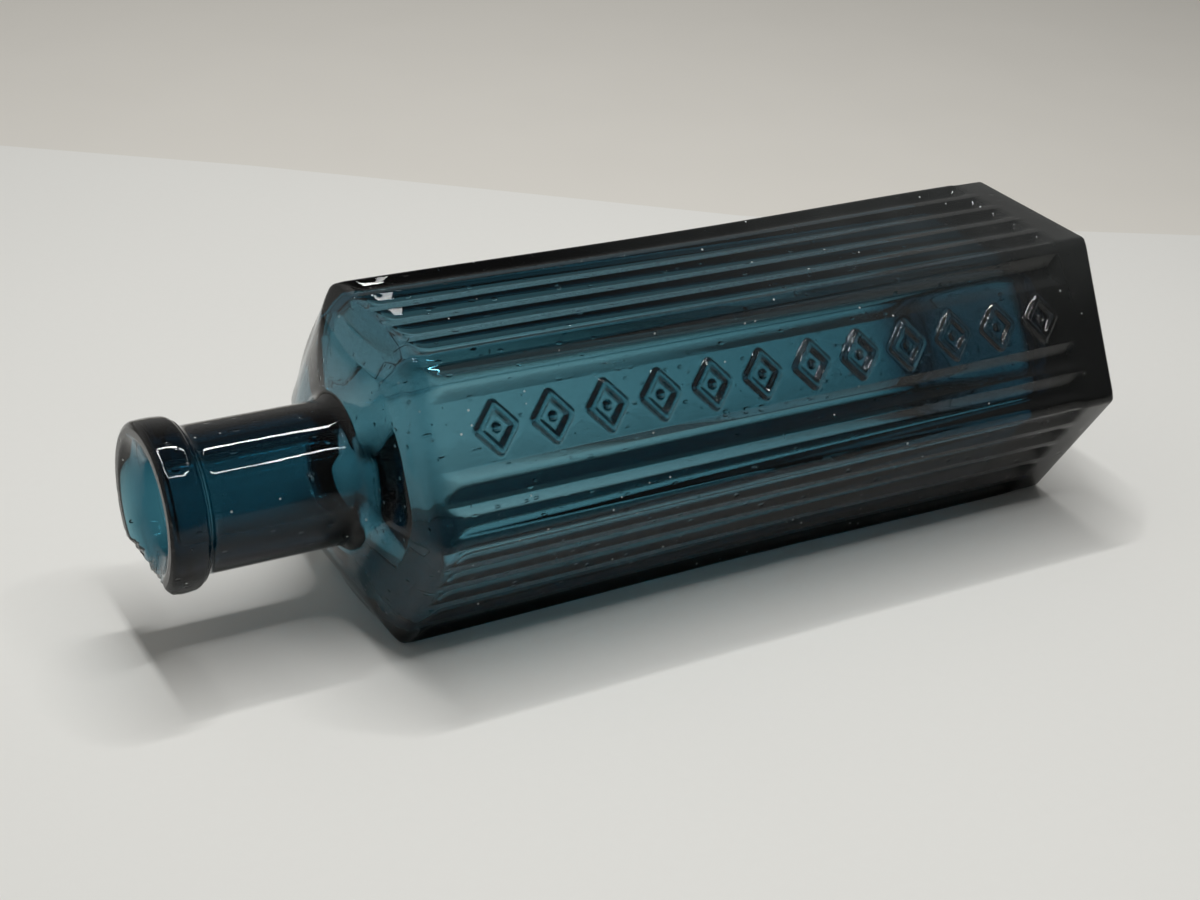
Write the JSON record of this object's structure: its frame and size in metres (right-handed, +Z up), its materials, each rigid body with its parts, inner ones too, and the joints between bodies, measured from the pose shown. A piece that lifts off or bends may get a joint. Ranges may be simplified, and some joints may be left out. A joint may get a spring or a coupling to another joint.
{
  "type": "poison bottle",
  "caption": "Six-sided ribbed glass poison bottle lying on one side, hollow, open-mouthed, with a round neck and a chipped square lip.",
  "frame": {"origin": "on the surface that the bottle lies on, below the middle of its overall box", "axes": "+X along the bottle from mouth to base, +Z up, -Y towards the front, where the label panel faces up and forward; to stand the bottle up, turn it so that the +X end, the base, faces down"},
  "size_m": [0.1364, 0.047, 0.041],
  "materials": {
    "glass": "teal-blue moulded glass, deep in tone, glossy, with wear on the edges"
  },
  "bodies": {
    "root": {"base": "glass", "panel_top": "glass", "panel_label": "glass", "panel_front": "glass", "panel_rest": "glass", "panel_back_low": "glass", "panel_back_high": "glass", "shoulder": "glass", "neck": "glass", "lip_ring": "glass"}
  },
  "joints": []
}
